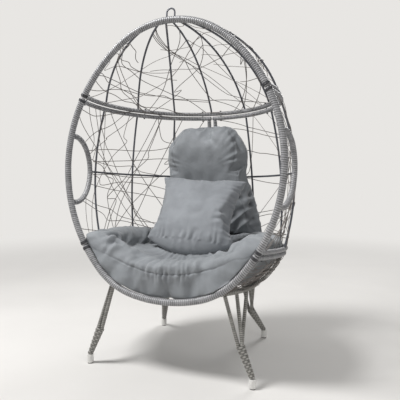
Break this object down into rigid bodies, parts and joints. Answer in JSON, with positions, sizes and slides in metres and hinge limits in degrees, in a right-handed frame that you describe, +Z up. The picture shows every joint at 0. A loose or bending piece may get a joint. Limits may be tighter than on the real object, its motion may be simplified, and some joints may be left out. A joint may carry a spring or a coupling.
{
  "type": "standing egg chair",
  "caption": "Woven egg-shaped lounge chair on four splayed legs, with a lift-out nest cushion and a loose throw pillow.",
  "frame": {"origin": "on the floor, centred between left and right and between the rim's front and the basket's back", "axes": "+Z up, the opening of the egg faces -Y, +X is to the right of someone who looks at the opening"},
  "size_m": [0.9932, 0.6961, 1.5014],
  "materials": {
    "wrapped_tube": "flat grey wicker wound round a tube",
    "strand": "flat grey-brown wicker strand",
    "steel": "dark grey powder coat",
    "fastener": "dull zinc",
    "cap": "smooth white",
    "glide": "dark",
    "cushion": "blue-grey woven cover over soft filling",
    "pillow": "blue-grey woven cover over soft filling"
  },
  "bodies": {
    "frame": {"dome_rim": "wrapped_tube", "dome_ring": "wrapped_tube", "dome_ribs": "steel", "dome_net": "strand", "hanging_loop": "steel", "left_rim": "wrapped_tube", "right_rim": "wrapped_tube", "left_top_bar": "wrapped_tube", "right_top_bar": "wrapped_tube", "left_bottom_bar": "wrapped_tube", "right_bottom_bar": "wrapped_tube", "left_post": "wrapped_tube", "right_post": "wrapped_tube", "left_arm_loop": "wrapped_tube", "right_arm_loop": "wrapped_tube", "left_rods": "steel", "right_rods": "steel", "left_crossbar": "steel", "right_crossbar": "steel", "left_net": "strand", "right_net": "strand", "bowl_rim": "wrapped_tube", "bowl_ring": "wrapped_tube", "bowl_rods": "wrapped_tube", "bowl_net": "strand", "base_ring": "wrapped_tube", "base_bars": "wrapped_tube", "seam_bolts": "fastener", "seam_nuts": "fastener", "front_left_leg": "wrapped_tube", "front_right_leg": "wrapped_tube", "back_left_leg": "wrapped_tube", "back_right_leg": "wrapped_tube", "front_left_sleeve": "wrapped_tube", "front_right_sleeve": "wrapped_tube", "back_left_sleeve": "wrapped_tube", "back_right_sleeve": "wrapped_tube", "front_left_cap": "cap", "front_right_cap": "cap", "back_left_cap": "cap", "back_right_cap": "cap", "glides": "glide"},
    "nest": {"nest_cushion": "cushion", "back_pad": "cushion"},
    "pillow": {"throw_pillow": "pillow"}
  },
  "joints": [
    {"name": "nest_lift", "type": "slide", "parent": "frame", "child": "nest", "axis": [0, -0.866, 0.5], "range_m": [0, 0.8]},
    {"name": "pillow_lift", "type": "slide", "parent": "nest", "child": "pillow", "axis": [0, -0.866, 0.5], "range_m": [0, 0.7]}
  ]
}
